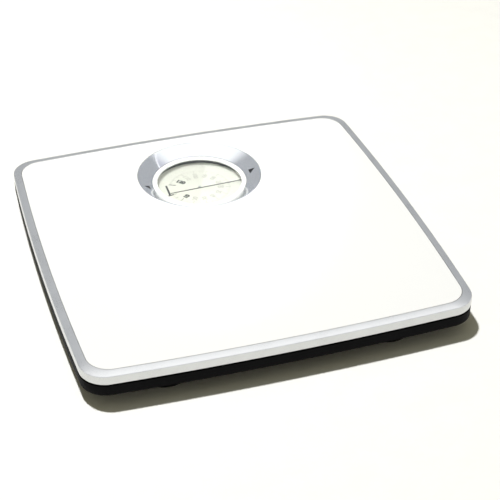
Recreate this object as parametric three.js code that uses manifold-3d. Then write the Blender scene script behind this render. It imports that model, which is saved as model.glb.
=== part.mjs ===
// A mechanical dial platform scale, in millimetres, +Z up. The origin is on the floor under the middle of the
// platform, +Y is the dial's end and -Y is the user's end.
import * as THREE from 'three';
import { ConvexGeometry } from 'three/addons/geometries/ConvexGeometry.js';
import { mergeVertices } from 'three/addons/utils/BufferGeometryUtils.js';
import Module from 'manifold-3d';

const wasm = await Module();
wasm.setup();

// Plan: a square whose four sides bow outwards
const HALF_WIDTH = 136.1;          // middle to the line through two corners, along X
const HALF_DEPTH = 136.1;          // the same along Y
const BOW = 3.9;                   // how far a side stands out past that line
const CORNER_R = 18.5;

// Heights above the floor
const FOOT_H = 10.5;               // floor to the underside of the tray's skirt
const BODY_H = 16.9;               // underside of the skirt to the top of the mat
const CHAMFER_H = 1.1;
const RIM_SIDE_H = 6.5;            // upright part of the silver rim
const CHAMFER_W = 5.4;
const MAT_T = 1.1;
const MAT_CORNER_R = 16.5;

// Clearances
const FIT = 0.3;                   // between pieces that touch or turn
const TURN = 0.35;                 // radial, round a pin that its lever turns on

// Sheet and wall thicknesses
const COVER_T = 0.8;
const TRAY_T = 2.0;
const LIP_T = 1.5;                 // tray's inner lip, behind the platform's skirt
const BRACKET_T = 1.2;

// Dial and bezel, all about one centre
const DIAL_Y = 77.8;
const BEZEL_R = 47.7;
const FUNNEL_R = 36.4;             // inner edge of the funnel
const FUNNEL_DROP = 6.56;
const RING_W = 3.7;                // white ring inside the funnel
const DISC_T = 0.6;
const DISC_DROP = 12.55;           // top of the mat to the top of the disc

// Levers: load arm, and how far the platform goes down at full load
const FULCRUM_X = 76;
const FULCRUM_Y = 118;
const LOAD_ARM = 20;
const NOSE_X = 8;
const NOSE_Y = 28;
const SHORT_TIP_X = 27;
const LEVER_T = 2.5;
const LEVER_H = 5;
const LEVER_CLEAR = 1.5;           // under the levers, above the tray's floor
const PIN_R = 1.5;
const PIN_L = 14;

// Gear train
const NOSE_TRAVEL = 4.4;
const ZERO_TRAVEL = 0.5;           // each way, of the spring anchor
const MODULE = 0.5;
const PINION_TEETH = 10;
const SECTOR_TEETH = 108;          // on a full circle
const SECTOR_SPAN = 30;            // degrees turned from no load to full load
const CRANK_SWING = 22;            // degrees each side of upright
const CRANK_Y = 36;
const CRANK_OUT = 4.0;             // arm that pulls the link
const LINK_WIRE_R = 0.6;
const GEAR_T = 1.4;

// Belly of the tray, which holds the gear train
const BELLY_X = 118;
const BELLY_Y = 92;
const BELLY_DEPTH = 7.5;           // below the underside of the skirt

// Feet
const FOOT_X = 79;
const FOOT_Y = 112;
const FOOT_R = 17.5;

// Main springs
const SPRING_X = 20;
const SPRING_R = 3.2;
const SPRING_WIRE = 0.55;
const SPRING_COILS = 3.5;

// Lengths that follow from the sizes above
const TOTAL_H = FOOT_H + BODY_H;
const BELLY_Z = FOOT_H - BELLY_DEPTH;
const DISC_TOP = TOTAL_H - DISC_DROP;
const DISC_R = FUNNEL_R - 0.4;
const FRAME_HOLE_R = FUNNEL_R - RING_W;
const RIM_TOP = TOTAL_H - CHAMFER_H;
const SKIRT_Z = RIM_TOP - RIM_SIDE_H;
const PLATFORM_TRAVEL = NOSE_TRAVEL * LOAD_ARM / (FULCRUM_Y + NOSE_Y);
const MAT_Z = TOTAL_H - MAT_T;
const SHEET_TOP = MAT_Z - FIT;
const UNDERSIDE = SHEET_TOP - COVER_T;
const TRAY_WALL_TOP = SKIRT_Z - PLATFORM_TRAVEL - 0.8;
const TRAY_FLOOR = FOOT_H + TRAY_T;
const BELLY_FLOOR = BELLY_Z + TRAY_T;
const FUNNEL_Z = TOTAL_H - FUNNEL_DROP;
const LOAD_Y = FULCRUM_Y - LOAD_ARM;
const LEVER_LOW = TRAY_FLOOR + LEVER_CLEAR;
const LEVER_TOP = LEVER_LOW + LEVER_H;
const LEVER_Z = (LEVER_LOW + LEVER_TOP) / 2;
const CRANK_Z = BELLY_FLOOR + 3.7;
const GEAR_Z = BELLY_FLOOR + 4.6;
const PINION_R = MODULE * PINION_TEETH / 2;
const SECTOR_R = MODULE * SECTOR_TEETH / 2;
const SECTOR_Y = DIAL_Y - SECTOR_R - PINION_R - 0.05;
const SWING = CRANK_SWING * Math.PI / 180;
const CRANK_IN = NOSE_TRAVEL / 2 / Math.sin(SWING);
const LINK_TRAVEL = 2 * CRANK_OUT * Math.sin(SWING);
const HALF_SPAN = SECTOR_SPAN / 2 * Math.PI / 180;
const SECTOR_ARM = LINK_TRAVEL / 2 / Math.sin(HALF_SPAN);
const FLANGE_T = 1.2;              // foot of the nose plate
const FLANGE_Z = LEVER_LOW - 0.8 - FLANGE_T;
const WINDOW_GAP = 0.75;           // above and below a lever's tip in the nose plate
const PLATE_TOP = LEVER_TOP + WINDOW_GAP + 0.8;
const ANCHOR_T = 1.4;
const ANCHOR_Z = PLATE_TOP + FIT;
const HOLE_R = BEZEL_R - 1.4;      // dial hole in the sheet, under the bezel's flange

// ---------- materials ----------

const metal = (color, roughness) => ({ color, roughness, metalness: 1 });
const plain = (color, roughness) => ({ color, roughness, metalness: 0 });
const SILVER = metal(0xc4c6c8, 0.35);
const CHROME = metal(0xd4d7da, 0.12);
const WHITE = plain(0xf4f5f4, 0.5);
const CREAM = plain(0xeeefe6, 0.7);
const BLACK = plain(0x0c0c0d, 0.5);
const RUBBER = plain(0x121212, 0.9);
const CLEAR = { color: 0xf4f8f8, roughness: 0.05, metalness: 0, transparent: true, opacity: 0.25 };
const ZINC = metal(0xaeb2b4, 0.4);
const SPRING_STEEL = metal(0x8c9094, 0.3);
const BRASS = metal(0xc8a04c, 0.3);

// ---------- shape helpers ----------

// A closed three.js geometry as a manifold solid
function solid(geometry) {
  const g = geometry.clone();
  g.deleteAttribute('normal');
  g.deleteAttribute('uv');
  const m = mergeVertices(g, 1e-4);
  return new wasm.Manifold(new wasm.Mesh({
    numProp: 3,
    vertProperties: new Float32Array(m.attributes.position.array),
    triVerts: new Uint32Array(m.index.array),
  }));
}

function join(...parts) {
  return parts.reduce((a, b) => a.add(b));
}

function cut(body, ...tools) {
  return tools.reduce((a, b) => a.subtract(b), body);
}

function box(x0, x1, y0, y1, z0, z1) {
  const g = new THREE.BoxGeometry(x1 - x0, y1 - y0, z1 - z0);
  g.translate((x0 + x1) / 2, (y0 + y1) / 2, (z0 + z1) / 2);
  return solid(g);
}

function prism(shape, z0, z1, curveSegments = 12) {
  const g = new THREE.ExtrudeGeometry(shape, { depth: z1 - z0, bevelEnabled: false, curveSegments });
  g.translate(0, 0, z0);
  return solid(g);
}

function disc(r, z0, z1, x = 0, y = 0, n = 24) {
  const g = new THREE.CylinderGeometry(r, r, z1 - z0, n);
  g.rotateX(Math.PI / 2);
  g.translate(x, y, (z0 + z1) / 2);
  return solid(g);
}

// A round bar along X
function barX(r, x0, x1, y, z, n = 16) {
  const g = new THREE.CylinderGeometry(r, r, x1 - x0, n);
  g.rotateZ(Math.PI / 2);
  g.translate((x0 + x1) / 2, y, z);
  return solid(g);
}

// A closed profile of [radius, height] pairs turned about a vertical line
function turned(profile, x, y, n) {
  const points = profile.map(([r, z]) => new THREE.Vector2(r, z));
  if (profile[0][0] > 0) {
    points.push(points[0].clone());
  }
  const g = new THREE.LatheGeometry(points, n);
  g.rotateX(Math.PI / 2);
  g.translate(x, y, 0);
  const s = solid(g);
  return s.volume() < 0 ? solid(flip(g)) : s;
}

// The same triangles with their sides swapped
function flip(geometry) {
  const g = geometry.clone();
  const index = g.index.array;
  for (let i = 0; i < index.length; i += 3) {
    const first = index[i];
    index[i] = index[i + 1];
    index[i + 1] = first;
  }
  return g;
}

// Points round the bowed square, set in by a distance from its edge
function outlinePoints(inset, cornerR = CORNER_R - inset, bowSteps = 8, cornerSteps = 6) {
  const points = [];
  // each bow is a circle's arc; its centre lies past the middle of the plan
  const bowOf = (along, half) => {
    const bowR = (along * along + BOW * BOW) / (2 * BOW);
    return [bowR, bowR - half - BOW];
  };
  const w = HALF_WIDTH - inset;
  const d = HALF_DEPTH - inset;
  const [frontR, frontC] = bowOf(w, d);
  const [sideR, sideC] = bowOf(d, w);
  // the corner's circle, centred at (cx, -cy), touches the front's bow and the side's bow
  const k = ((frontR - cornerR) ** 2 - (sideR - cornerR) ** 2 - frontC ** 2 + sideC ** 2) / (2 * frontC);
  const m = sideC / frontC;
  const b = m * (k + frontC);
  const c = (k + frontC) ** 2 - (frontR - cornerR) ** 2;
  const cx = (-b + Math.sqrt(b * b - (1 + m * m) * c)) / (1 + m * m);
  const cy = k + m * cx;
  const leanFront = Math.atan2(cx, cy + frontC);
  const leanSide = Math.atan2(cy, cx + sideC);
  for (let side = 0; side < 4; side++) {
    const odd = side % 2;
    const [bowR, centre] = odd ? [sideR, sideC] : [frontR, frontC];
    const [tx, ty] = odd ? [cy, cx] : [cx, cy];
    const lean = odd ? leanSide : leanFront;
    const next = odd ? leanFront : leanSide;
    const turn = side * Math.PI / 2;
    const put = (x, y) => points.push(new THREE.Vector2(
      x * Math.cos(turn) - y * Math.sin(turn), x * Math.sin(turn) + y * Math.cos(turn)));
    for (let i = 0; i <= bowSteps; i++) {
      const a = -lean + 2 * lean * i / bowSteps;
      put(bowR * Math.sin(a), centre - bowR * Math.cos(a));
    }
    for (let i = 1; i < cornerSteps; i++) {
      const a = lean + (Math.PI / 2 - lean - next) * i / cornerSteps;
      put(tx + cornerR * Math.sin(a), -ty - cornerR * Math.cos(a));
    }
  }
  return points;
}

const outline = (inset, cornerR) => new THREE.Shape(outlinePoints(inset, cornerR));

// A flat bar on edge from point a to point b, both [x, y], with its ends run on by a length
function bar(a, b, runA, runB, thick, z0, z1) {
  const dx = b[0] - a[0];
  const dy = b[1] - a[1];
  const length = Math.hypot(dx, dy);
  const g = new THREE.BoxGeometry(length + runA + runB, thick, z1 - z0);
  g.translate((length + runB - runA) / 2, 0, 0);
  g.rotateZ(Math.atan2(dy, dx));
  g.translate(a[0], a[1], (z0 + z1) / 2);
  return solid(g);
}

// A round wire along a curve
function wire(curve, r, steps, sides = 6) {
  const section = new THREE.Shape();
  for (let i = 0; i < sides; i++) {
    const a = 2 * Math.PI * i / sides;
    if (i) {
      section.lineTo(r * Math.cos(a), r * Math.sin(a));
    } else {
      section.moveTo(r, 0);
    }
  }
  section.closePath();
  const g = new THREE.ExtrudeGeometry(section, { steps, extrudePath: curve, bevelEnabled: false });
  return solid(g);
}

const group = new THREE.Group();
group.name = 'dial_platform_scale';

function node(name, body, look) {
  const mesh = body.getMesh();
  const g = new THREE.BufferGeometry();
  g.setAttribute('position', new THREE.BufferAttribute(new Float32Array(mesh.vertProperties), 3));
  g.setIndex(new THREE.BufferAttribute(new Uint32Array(mesh.triVerts), 1));
  g.computeVertexNormals();
  const m = new THREE.Mesh(g, new THREE.MeshStandardMaterial(look));
  m.name = name;
  group.add(m);
}

// The four corners, by name and by the signs of X and Y
const CORNERS = [
  ['front_left', -1, -1], ['front_right', 1, -1], ['back_left', -1, 1], ['back_right', 1, 1]];
const SIDES = [['left', -1], ['right', 1]];

// ---------- base ----------

const KNOB_Y = 18;
const KNOB_R = 9;
const KNOB_LOW = BELLY_Z - 1.4;
const GUIDE_X = 30;
const HOLD_X = 112;
const FRAME_X = 21;
const FRAME_LOW = BELLY_FLOOR + FIT;
const FRAME_TOP = FRAME_LOW + BRACKET_T;
const FRAME_HOLES = [[-17, 35.2], [17, 35.2], [0, 86]];

// Black moulding: flush skirt, inner lip, floor and a deeper belly with a hole for the zero knob
function baseTray() {
  const skirt = prism(outline(0), FOOT_H, TRAY_WALL_TOP);
  const lip = prism(outline(COVER_T + 1.1), FOOT_H, SKIRT_Z + 2.4);
  const hollow = prism(outline(COVER_T + 1.1 + LIP_T), TRAY_FLOOR, TOTAL_H);
  const belly = box(-BELLY_X, BELLY_X, -BELLY_Y, BELLY_Y, BELLY_Z, TRAY_FLOOR);
  const bellyHollow = box(
    TRAY_T - BELLY_X, BELLY_X - TRAY_T, TRAY_T - BELLY_Y, BELLY_Y - TRAY_T, BELLY_FLOOR, TOTAL_H);
  const knobHole = disc(KNOB_R + 0.6, 0, TOTAL_H, 0, KNOB_Y, 32);
  let tray = cut(join(skirt, lip), hollow);
  tray = cut(join(tray, belly), bellyHollow, knobHole);
  for (const [x, y] of FRAME_HOLES) {
    tray = cut(tray, disc(1.1, BELLY_FLOOR - 1.2, BELLY_FLOOR + 1, x, y, 12));
  }
  for (const [, s] of SIDES) {
    // guide posts for the spring anchor, and eyes for the hold-down springs
    tray = join(tray, disc(1.8, BELLY_FLOOR - 0.5, ANCHOR_Z + 2.5, s * GUIDE_X, KNOB_Y, 16));
    tray = join(tray, box(s * HOLD_X - 3, s * HOLD_X + 3, -1, 1, BELLY_FLOOR - 0.5, BELLY_FLOOR + 3.5));
    tray = cut(tray, holdEye(s * HOLD_X, BELLY_FLOOR + 1.9));
  }
  return tray;
}

// A hole along Y for a spring's hook
function holdEye(x, z) {
  const g = new THREE.CylinderGeometry(1.0, 1.0, 8, 12);
  g.translate(x, 0, z);
  return solid(g);
}

node('base_tray', baseTray(), BLACK);

// Rubber foot: a low tapered disc
function foot(sx, sy) {
  const top = FOOT_H - FIT;
  const profile = [[0, 0], [FOOT_R - 1.6, 0], [FOOT_R - 0.8, 0.8], [FOOT_R, top], [0, top]];
  return turned(profile, sx * FOOT_X, sy * FOOT_Y, 24);
}

for (const [name, sx, sy] of CORNERS) {
  node(`foot_${name}`, foot(sx, sy), RUBBER);
}

// Steel U bracket on the tray: two ears with open notches that hold a fulcrum pin
function fulcrumBracket(sx, sy) {
  const x = sx * FULCRUM_X;
  const y = sy * FULCRUM_Y;
  const low = TRAY_FLOOR + FIT;
  const ear = PIN_L / 2 - 1.5;
  let b = box(x - ear, x + ear, y - 4, y + 4, low, low + 0.9);
  for (const [, s] of SIDES) {
    const inner = x + s * (ear - BRACKET_T);
    const outer = x + s * ear;
    b = join(b, box(Math.min(inner, outer), Math.max(inner, outer), y - 4, y + 4, low, LEVER_Z + 2.5));
  }
  const notch = join(
    barX(PIN_R + TURN, x - 9, x + 9, y, LEVER_Z, 16),
    box(x - 9, x + 9, y - PIN_R - TURN, y + PIN_R + TURN, LEVER_Z, LEVER_Z + 6));
  return cut(b, notch);
}

for (const [name, sx, sy] of CORNERS) {
  node(`fulcrum_bracket_${name}`, fulcrumBracket(sx, sy), ZINC);
}

// ---------- levers ----------

// Where a lever's line crosses a given Y
function leverX(tipX, tipY, y) {
  return FULCRUM_X + (tipX - FULCRUM_X) * (FULCRUM_Y - y) / (FULCRUM_Y + tipY);
}

const LONG_LOAD_X = leverX(NOSE_X, NOSE_Y, LOAD_Y);
const SHORT_LOAD_X = leverX(SHORT_TIP_X, 0, LOAD_Y);

// Flat steel bar on edge, with holes for its fulcrum pin and its load pin
function lever(sx, sy, tipX, tipY, loadX, run) {
  const body = bar(
    [sx * FULCRUM_X, sy * FULCRUM_Y], [sx * tipX, -sy * tipY], 4, run, LEVER_T, LEVER_LOW, LEVER_TOP);
  const x = sx * FULCRUM_X;
  const holes = [
    barX(PIN_R + FIT, x - 9, x + 9, sy * FULCRUM_Y, LEVER_Z),
    barX(PIN_R + FIT, sx * loadX - 9, sx * loadX + 9, sy * LOAD_Y, LEVER_Z)];
  return cut(body, ...holes);
}

for (const [name, s] of SIDES) {
  node(`long_lever_${name}`, lever(s, -1, NOSE_X, NOSE_Y, LONG_LOAD_X, 3), ZINC);
  node(`short_lever_${name}`, lever(s, 1, SHORT_TIP_X, 0, SHORT_LOAD_X, 2.5), ZINC);
}

for (const [name, sx, sy] of CORNERS) {
  const x = sx * FULCRUM_X;
  const loadX = sx * (sy < 0 ? LONG_LOAD_X : SHORT_LOAD_X);
  node(`fulcrum_pin_${name}`, barX(PIN_R, x - PIN_L / 2, x + PIN_L / 2, sy * FULCRUM_Y, LEVER_Z), SPRING_STEEL);
  node(`load_pin_${name}`, barX(PIN_R, loadX - PIN_L / 2, loadX + PIN_L / 2, sy * LOAD_Y, LEVER_Z), SPRING_STEEL);
}

// Steel loop round the long lever and the tip of the short lever
function leverLink(s) {
  const longX = leverX(NOSE_X, NOSE_Y, 0);
  const x0 = longX - 2.5;
  const x1 = SHORT_TIP_X + 2.5;
  const gap = 0.6;
  const wall = 1.2;
  const z0 = LEVER_LOW - gap;
  const z1 = LEVER_TOP + gap;
  const outer = box(x0 - wall, x1 + wall, -1, 1, z0 - wall, z1 + wall);
  const hole = box(x0, x1, -3, 3, z0, z1);
  return s > 0 ? cut(outer, hole) : cut(outer, hole).mirror([1, 0, 0]);
}

for (const [name, s] of SIDES) {
  node(`lever_link_${name}`, leverLink(s), ZINC);
}

// ---------- nose plate, springs and zero setting ----------

const CRANK_X = -8.4;
const TIP_R = 1.0;
const TIP_Y = CRANK_Y - CRANK_IN * Math.cos(SWING);
const TIP_Z = CRANK_Z + CRANK_IN * Math.sin(SWING);

// Stamped plate: two windows for the long levers' tips, a foot for the springs and a finger over the crank
function nosePlate() {
  const y0 = NOSE_Y - 1;
  const y1 = NOSE_Y + 1;
  const gap = WINDOW_GAP;
  let p = box(-13, 13, y0, y1, FLANGE_Z, PLATE_TOP);
  for (const [, s] of SIDES) {
    const x = s * NOSE_X;
    p = cut(p, box(x - 2.5, x + 2.5, y0 - 1, y1 + 1, LEVER_LOW - gap, LEVER_TOP + gap));
  }
  p = join(p, box(-25, 25, NOSE_Y - 4, NOSE_Y + 4, FLANGE_Z, FLANGE_Z + FLANGE_T));
  for (const [, s] of SIDES) {
    p = cut(p, disc(SPRING_WIRE + 0.4, FLANGE_Z - 1, FLANGE_Z + 3, s * SPRING_X, NOSE_Y, 12));
  }
  // the foot is notched round the crank's arm, and only the finger reaches over its tip
  p = cut(p, box(CRANK_X - 2.2, CRANK_X + 2.2, y1, NOSE_Y + 6, FLANGE_Z - 1, FLANGE_Z + 3));
  const fingerLow = TIP_Z + TIP_R + ZERO_TRAVEL + 0.2;
  return join(p, box(CRANK_X - 1.6, CRANK_X + 1.6, y1 - 0.5, TIP_Y + 0.45, fingerLow, fingerLow + 0.7));
}

node('nose_plate', nosePlate(), ZINC);

// Extension spring: a close helix with a straight leg and a hooked end at top and bottom
function springCurve(x, y, r, coils, z0, z1, hookLow, hookTop, lead, side) {
  const points = [];
  const at = (px, py, pz) => points.push(new THREE.Vector3(px, py, pz));
  at(x + side * 2.6, y, hookLow);
  at(x + side * 1.3, y, hookLow);
  at(x + side * 0.4, y, hookLow + 0.35);
  at(x, y, hookLow + 1.2);
  at(x, y, z0 - lead);
  const steps = coils * 10;
  for (let i = 0; i <= steps; i++) {
    const a = 2 * Math.PI * i / 10;
    const ease = Math.min(1, (i + 2) / 5, (steps - i + 2) / 5);
    at(x + r * ease * Math.cos(a), y + r * ease * Math.sin(a), z0 + (z1 - z0) * i / steps);
  }
  at(x, y, z1 + lead);
  at(x, y, hookTop - 1.2);
  at(x + side * 0.4, y, hookTop - 0.35);
  at(x + side * 1.3, y, hookTop);
  at(x + side * 2.6, y, hookTop);
  return new THREE.CatmullRomCurve3(points, false, 'centripetal');
}

for (const [name, s] of SIDES) {
  const curve = springCurve(
    s * SPRING_X, NOSE_Y, SPRING_R, SPRING_COILS, FLANGE_Z + FLANGE_T + 1.7, ANCHOR_Z - 1.6,
    FLANGE_Z - SPRING_WIRE - 0.2, ANCHOR_Z + ANCHOR_T + SPRING_WIRE + 0.2, 1.0, s);
  node(`main_spring_${name}`, wire(curve, SPRING_WIRE, SPRING_COILS * 10 + 14, 5), SPRING_STEEL);
}

// Steel bridge that the springs hang from: slides on the tray's two posts
function springAnchor() {
  let a = box(-33, 33, KNOB_Y - 4, NOSE_Y + 4, ANCHOR_Z, ANCHOR_Z + ANCHOR_T);
  a = join(a, disc(4, ANCHOR_Z - 3, ANCHOR_Z + ANCHOR_T, 0, KNOB_Y, 20));
  a = cut(a, disc(2 + FIT, ANCHOR_Z - 5, ANCHOR_Z + 5, 0, KNOB_Y, 20));
  for (const [, s] of SIDES) {
    a = cut(a, disc(1.8 + FIT, ANCHOR_Z - 5, ANCHOR_Z + 5, s * GUIDE_X, KNOB_Y, 16));
    a = cut(a, disc(SPRING_WIRE + 0.4, ANCHOR_Z - 5, ANCHOR_Z + 5, s * SPRING_X, NOSE_Y, 12));
    // the ends are cut back beside the short levers
    a = cut(a, box(s * 30 - 4, s * 30 + 4, KNOB_Y + 5, NOSE_Y + 6, ANCHOR_Z - 1, ANCHOR_Z + 3));
  }
  return a;
}

node('spring_anchor', springAnchor(), ZINC);

// Knurled thumbwheel under the tray, with a flange above the floor and the stud that carries the anchor
function zeroKnob() {
  const flangeLow = BELLY_FLOOR + FIT;
  let k = disc(KNOB_R, KNOB_LOW, flangeLow + 0.5, 0, KNOB_Y, 36);
  for (let i = 0; i < 14; i++) {
    const a = 2 * Math.PI * i / 14;
    k = cut(k, disc(1.0, 0, BELLY_Z + 1.2, KNOB_R * Math.cos(a), KNOB_Y + KNOB_R * Math.sin(a), 6));
  }
  k = cut(k, disc(KNOB_R - 2, 0, KNOB_LOW + 1, 0, KNOB_Y, 28));
  k = join(k, box(-KNOB_R + 2.4, KNOB_R - 2.4, KNOB_Y - 1, KNOB_Y + 1, KNOB_LOW + 0.2, KNOB_LOW + 1.6));
  k = join(k, disc(KNOB_R + 3, flangeLow, flangeLow + 1, 0, KNOB_Y, 32));
  return join(k, disc(2, flangeLow, ANCHOR_Z + ANCHOR_T + 0.8, 0, KNOB_Y, 20));
}

node('zero_knob', zeroKnob(), BLACK);

// ---------- mechanism frame and gear train ----------

const PIN_X0 = CRANK_X - 4.2;
const PIN_X1 = CRANK_X + 4.2;
const EAR_T = 1.0;
const BUSH_R = 3;
const POST_R = 1.5;

// Stamped steel plate screwed to the belly: ears for the crank's pin, holes for the post and the bush
function mechanismFrame() {
  let f = box(-FRAME_X, FRAME_X, 31.5, 89.5, FRAME_LOW, FRAME_TOP);
  for (const [, s] of SIDES) {
    f = cut(f, box(s * 16 - 8, s * 16 + 8, 55, 100, FRAME_LOW - 1, FRAME_TOP + 1));
    const x = CRANK_X + s * 3.4;
    const ear = box(x - EAR_T / 2, x + EAR_T / 2, CRANK_Y - 2.2, CRANK_Y + 2.2, FRAME_TOP - 0.5, CRANK_Z + 2.2);
    f = join(f, ear);
  }
  // room for the crank's input arm at the bottom of its swing
  f = cut(f, box(CRANK_X - 1.8, CRANK_X + 1.8, 30, 34, FRAME_LOW - 1, FRAME_TOP + 1));
  f = cut(f, barX(1 + FIT, PIN_X0 - 2, PIN_X1 + 2, CRANK_Y, CRANK_Z, 12));
  f = cut(f, disc(BUSH_R + FIT, 0, TOTAL_H, 0, DIAL_Y, 20), disc(POST_R + FIT, 0, TOTAL_H, 0, SECTOR_Y, 16));
  for (const [x, y] of FRAME_HOLES) {
    f = cut(f, disc(1.7, 0, TOTAL_H, x, y, 12));
  }
  return f;
}

node('mechanism_frame', mechanismFrame(), ZINC);

// Pan-head screw into the belly's floor
function frameScrew(x, y) {
  const head = disc(2.6, FRAME_TOP + FIT, FRAME_TOP + 1.7, x, y, 16);
  const slot = box(x - 3, x + 3, y - 0.35, y + 0.35, FRAME_TOP + 1.1, FRAME_TOP + 3);
  return join(cut(head, slot), disc(0.8, BELLY_FLOOR - 0.8, FRAME_TOP + 0.6, x, y, 12));
}

FRAME_HOLES.forEach(([x, y], i) => {
  node(`frame_screw_${i + 1}`, frameScrew(x, y), ZINC);
});

// Brass bush that the spindle stands in
const BUSH_TOP = GEAR_Z - 1.1;
node('spindle_bush', cut(
  disc(BUSH_R, FRAME_LOW, BUSH_TOP, 0, DIAL_Y, 24),
  disc(1 + TURN, BELLY_FLOOR + 0.9, BUSH_TOP + 1, 0, DIAL_Y, 16)), BRASS);

// Shouldered stud that the sector turns on, with a head to keep it there
node('sector_post', join(
  disc(POST_R, FRAME_LOW, GEAR_Z + GEAR_T + 1.4, 0, SECTOR_Y, 20),
  disc(2.6, FRAME_TOP + FIT, GEAR_Z - 1.2, 0, SECTOR_Y, 20),
  disc(2.6, GEAR_Z + GEAR_T + 0.9, GEAR_Z + GEAR_T + 1.6, 0, SECTOR_Y, 20)), SPRING_STEEL);

// Tooth outline about a centre: straight-sided stub teeth with room for play
function toothed(pitchR, count, first, last, points) {
  const step = 2 * Math.PI / count;
  const add = 0.32;
  const ded = 0.5;
  for (let i = first; i <= last; i++) {
    const mid = i * step;
    const place = (r, half) => points.push(new THREE.Vector2(
      r * Math.cos(mid + half / r), r * Math.sin(mid + half / r)));
    place(pitchR - ded, -0.44);
    place(pitchR + add, -0.17);
    place(pitchR + add, 0.17);
    place(pitchR - ded, 0.44);
  }
  return points;
}

const SECTOR_STEP = 360 / SECTOR_TEETH;
const DOWN_TEETH = Math.ceil(SECTOR_SPAN / SECTOR_STEP) + 2;

// Sector gear: teeth towards the spindle, an arm at the link's side and a short tail for the return spring
function sectorGear() {
  const teeth = toothed(SECTOR_R, SECTOR_TEETH, -DOWN_TEETH, 2, []);
  const shape = new THREE.Shape([new THREE.Vector2(0, -2.2), ...teeth, new THREE.Vector2(0, 2.2)]);
  const g = new THREE.ExtrudeGeometry(shape, { depth: GEAR_T, bevelEnabled: false });
  g.rotateZ(Math.PI / 2);
  g.translate(0, SECTOR_Y, GEAR_Z);
  let s = solid(g);
  s = join(s, disc(4, GEAR_Z, GEAR_Z + GEAR_T, 0, SECTOR_Y, 28));
  const tip = linkTip();
  s = join(s, bar([0, SECTOR_Y], [tip.x, tip.y], 0, 0, 3.4, GEAR_Z, GEAR_Z + GEAR_T));
  s = join(s, disc(2.0, GEAR_Z, GEAR_Z + GEAR_T, tip.x, tip.y, 20));
  s = join(s, bar([0, SECTOR_Y], [TAIL_X, TAIL_Y], 0, 1.5, 3, GEAR_Z, GEAR_Z + GEAR_T));
  const window = turned([[9, 0], [21, 0], [21, TOTAL_H], [9, TOTAL_H]], 0, SECTOR_Y, 48);
  const keep = windowShape();
  s = cut(s, window.intersect(keep));
  s = cut(s, disc(LINK_WIRE_R + 0.35, 0, TOTAL_H, tip.x, tip.y, 12), disc(0.8, 0, TOTAL_H, TAIL_X, TAIL_Y, 12));
  return cut(s, disc(POST_R + 0.15, 0, TOTAL_H, 0, SECTOR_Y, 20));
}

// Wedge that leaves the sector's two outer spokes standing
function windowShape() {
  const a0 = Math.PI / 2 - (DOWN_TEETH - 2.5) * SECTOR_STEP * Math.PI / 180;
  const a1 = Math.PI / 2 - 0.5 * SECTOR_STEP * Math.PI / 180;
  const far = 40;
  const shape = new THREE.Shape([
    new THREE.Vector2(0, 0),
    new THREE.Vector2(far * Math.cos(a0), far * Math.sin(a0)),
    new THREE.Vector2(far * Math.cos(a1), far * Math.sin(a1))]);
  const g = new THREE.ExtrudeGeometry(shape, { depth: 10, bevelEnabled: false });
  g.translate(0, SECTOR_Y, GEAR_Z - 3);
  return solid(g);
}

// Where the link's wire enters the sector's arm, at no load
function linkTip() {
  const a = Math.PI - HALF_SPAN;
  return new THREE.Vector2(SECTOR_ARM * Math.cos(a), SECTOR_Y + SECTOR_ARM * Math.sin(a));
}

const TAIL_X = 9;
const TAIL_Y = SECTOR_Y - 2;
node('sector_gear', sectorGear(), BRASS);

// Bell crank: bossed L plate, one arm under the nose plate's finger, the other upright for the link
function bellCrank() {
  const half = 0.8;
  const arm = (angle, length, width) => {
    const g = new THREE.BoxGeometry(2 * half, width, length);
    g.translate(0, 0, length / 2);
    g.rotateX(angle);
    g.translate(CRANK_X, CRANK_Y, CRANK_Z);
    return solid(g);
  };
  // angles about +X from upright: at no load the link's arm leans away from the user
  const outY = CRANK_Y + CRANK_OUT * Math.sin(SWING);
  const outZ = CRANK_Z + CRANK_OUT * Math.cos(SWING);
  let c = join(arm(-SWING, CRANK_OUT, 2.4), arm(Math.PI / 2 - SWING, CRANK_IN, 1.6));
  c = join(c, barX(1.7, CRANK_X - half, CRANK_X + half, outY, outZ, 20));
  c = join(c, barX(TIP_R, CRANK_X - half, CRANK_X + half, TIP_Y, TIP_Z, 16));
  c = join(c, barX(2.0, CRANK_X - 1.5, CRANK_X + 1.5, CRANK_Y, CRANK_Z, 20));
  c = cut(c, barX(LINK_WIRE_R + 0.35, CRANK_X - 3, CRANK_X + 3, outY, outZ, 12));
  return cut(c, barX(1 + 0.15, CRANK_X - 3, CRANK_X + 3, CRANK_Y, CRANK_Z, 16));
}

node('bell_crank', bellCrank(), ZINC);
node('crank_pin', barX(1, PIN_X0, PIN_X1, CRANK_Y, CRANK_Z, 16), SPRING_STEEL);

// Bent wire from the crank to the sector's arm
function pullLink() {
  const tip = linkTip();
  const y0 = CRANK_Y + CRANK_OUT * Math.sin(SWING);
  const z = CRANK_Z + CRANK_OUT * Math.cos(SWING) + 0.14;
  const ball = (x, y, bz) => {
    const g = new THREE.SphereGeometry(LINK_WIRE_R, 8, 6);
    g.translate(x, y, bz);
    return solid(g);
  };
  const g = new THREE.CylinderGeometry(LINK_WIRE_R, LINK_WIRE_R, tip.y - y0, 8);
  g.translate(tip.x, (tip.y + y0) / 2, z);
  return join(
    barX(LINK_WIRE_R, CRANK_X - 1.6, tip.x, y0, z, 8), ball(tip.x, y0, z), solid(g),
    ball(tip.x, tip.y, z), disc(LINK_WIRE_R, GEAR_Z - 0.6, z, tip.x, tip.y, 8));
}

node('pull_link', pullLink(), SPRING_STEEL);

// Spindle with a shoulder on the bush, then the pinion, the hub and the disc on it
node('dial_spindle', join(
  disc(1, FRAME_LOW + 0.9, DISC_TOP + 0.6, 0, DIAL_Y, 16),
  disc(1.9, BUSH_TOP + 0.3, BUSH_TOP + 0.8, 0, DIAL_Y, 16)), SPRING_STEEL);

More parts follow.
